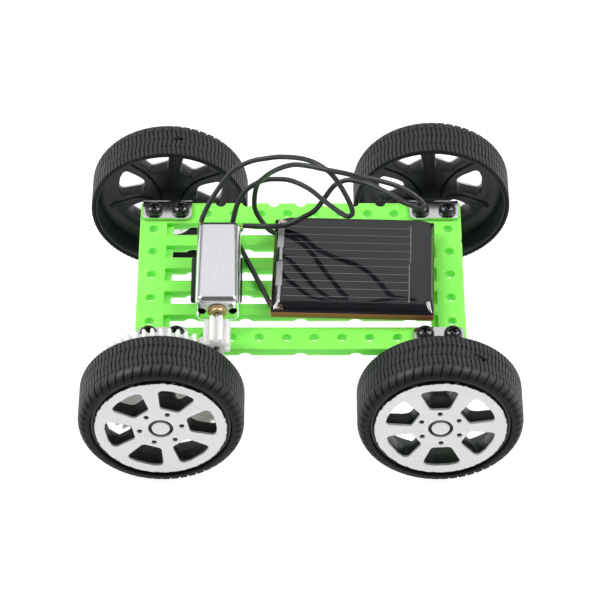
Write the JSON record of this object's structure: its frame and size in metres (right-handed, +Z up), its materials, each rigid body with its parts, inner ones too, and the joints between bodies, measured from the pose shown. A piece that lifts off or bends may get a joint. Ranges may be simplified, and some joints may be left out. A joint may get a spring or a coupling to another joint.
{
  "type": "solar car kit",
  "caption": "Small solar-powered toy car kit: slotted chassis plate, geared motor drive, solar panel, wires and spoked wheels on two axles.",
  "frame": {"origin": "on the ground under the middle of the car", "axes": "+X along the car from the motor's end to the solar panel's end, +Y across it along the axles, +Z up"},
  "size_m": [0.0798, 0.0655, 0.0443],
  "materials": {
    "green_plastic": "satin moulded",
    "bright_steel": "bright",
    "motor_steel": "bright nickel-plated",
    "black_steel": "black oxide, satin",
    "tyre_rubber": "matte",
    "black_plastic": "satin moulded",
    "silver_plastic": "satin silver coat",
    "white_plastic": "milky nylon",
    "brass": "bright",
    "copper": "copper-coloured, bright",
    "magnet": "matte sintered",
    "black_foam": "matte foam",
    "brown_laminate": "resin laminate",
    "cell_silicon": "polished silicon",
    "clear_resin": "clear glossy resin",
    "black_insulation": "satin insulation"
  },
  "bodies": {
    "chassis": {"chassis_plate": "green_plastic", "axle_bracket_near_left": "bright_steel", "axle_bracket_far_left": "bright_steel", "axle_bracket_near_right": "bright_steel", "axle_bracket_far_right": "bright_steel", "screw_near_left_1": "black_steel", "screw_near_left_2": "black_steel", "screw_far_left_1": "black_steel", "screw_far_left_2": "black_steel", "screw_near_right_1": "black_steel", "screw_near_right_2": "black_steel", "screw_far_right_1": "black_steel", "screw_far_right_2": "black_steel", "motor_can": "motor_steel", "motor_front_bush": "brass", "motor_end_cap": "black_plastic", "motor_terminal_left": "brass", "motor_terminal_right": "brass", "motor_magnet_left": "magnet", "motor_magnet_right": "magnet", "motor_brush_lower": "copper", "motor_brush_upper": "copper", "motor_foam_pad": "black_foam", "panel_foam_pad": "black_foam", "panel_board": "brown_laminate", "solar_cells": "cell_silicon", "cell_tab_back": "bright_steel", "cell_tab_front": "bright_steel", "panel_resin_cover": "clear_resin", "wire_panel_to_right_terminal": "black_insulation", "wire_left_terminal_to_panel": "black_insulation"},
    "drive_axle": {"axle_left": "bright_steel", "tyre_near_left": "tyre_rubber", "rim_near_left": "black_plastic", "wheel_cap_near_left": "silver_plastic", "tyre_far_left": "tyre_rubber", "rim_far_left": "black_plastic", "wheel_cap_far_left": "silver_plastic", "drive_gear": "white_plastic"},
    "free_axle": {"axle_right": "bright_steel", "tyre_near_right": "tyre_rubber", "rim_near_right": "black_plastic", "wheel_cap_near_right": "silver_plastic", "tyre_far_right": "tyre_rubber", "rim_far_right": "black_plastic", "wheel_cap_far_right": "silver_plastic"},
    "motor_rotor": {"motor_shaft": "bright_steel", "motor_pinion": "white_plastic", "motor_armature": "magnet", "motor_coil_1": "copper", "motor_coil_2": "copper", "motor_coil_3": "copper", "motor_commutator": "copper"}
  },
  "joints": [
    {"name": "drive_axle_spin", "type": "hinge", "parent": "chassis", "child": "drive_axle", "pos_m": [-0.025, 0, 0.0149], "axis": [0, 1, 0], "continuous": true},
    {"name": "free_axle_spin", "type": "hinge", "parent": "chassis", "child": "free_axle", "pos_m": [0.025, 0, 0.0149], "axis": [0, 1, 0], "continuous": true},
    {"name": "motor_spin", "type": "hinge", "parent": "chassis", "child": "motor_rotor", "pos_m": [-0.015, 0, 0.02608], "axis": [0, 1, 0], "continuous": true}
  ],
  "couplings": [
    {"joint": "motor_spin", "follows": "drive_axle_spin", "ratio": -6.5}
  ]
}
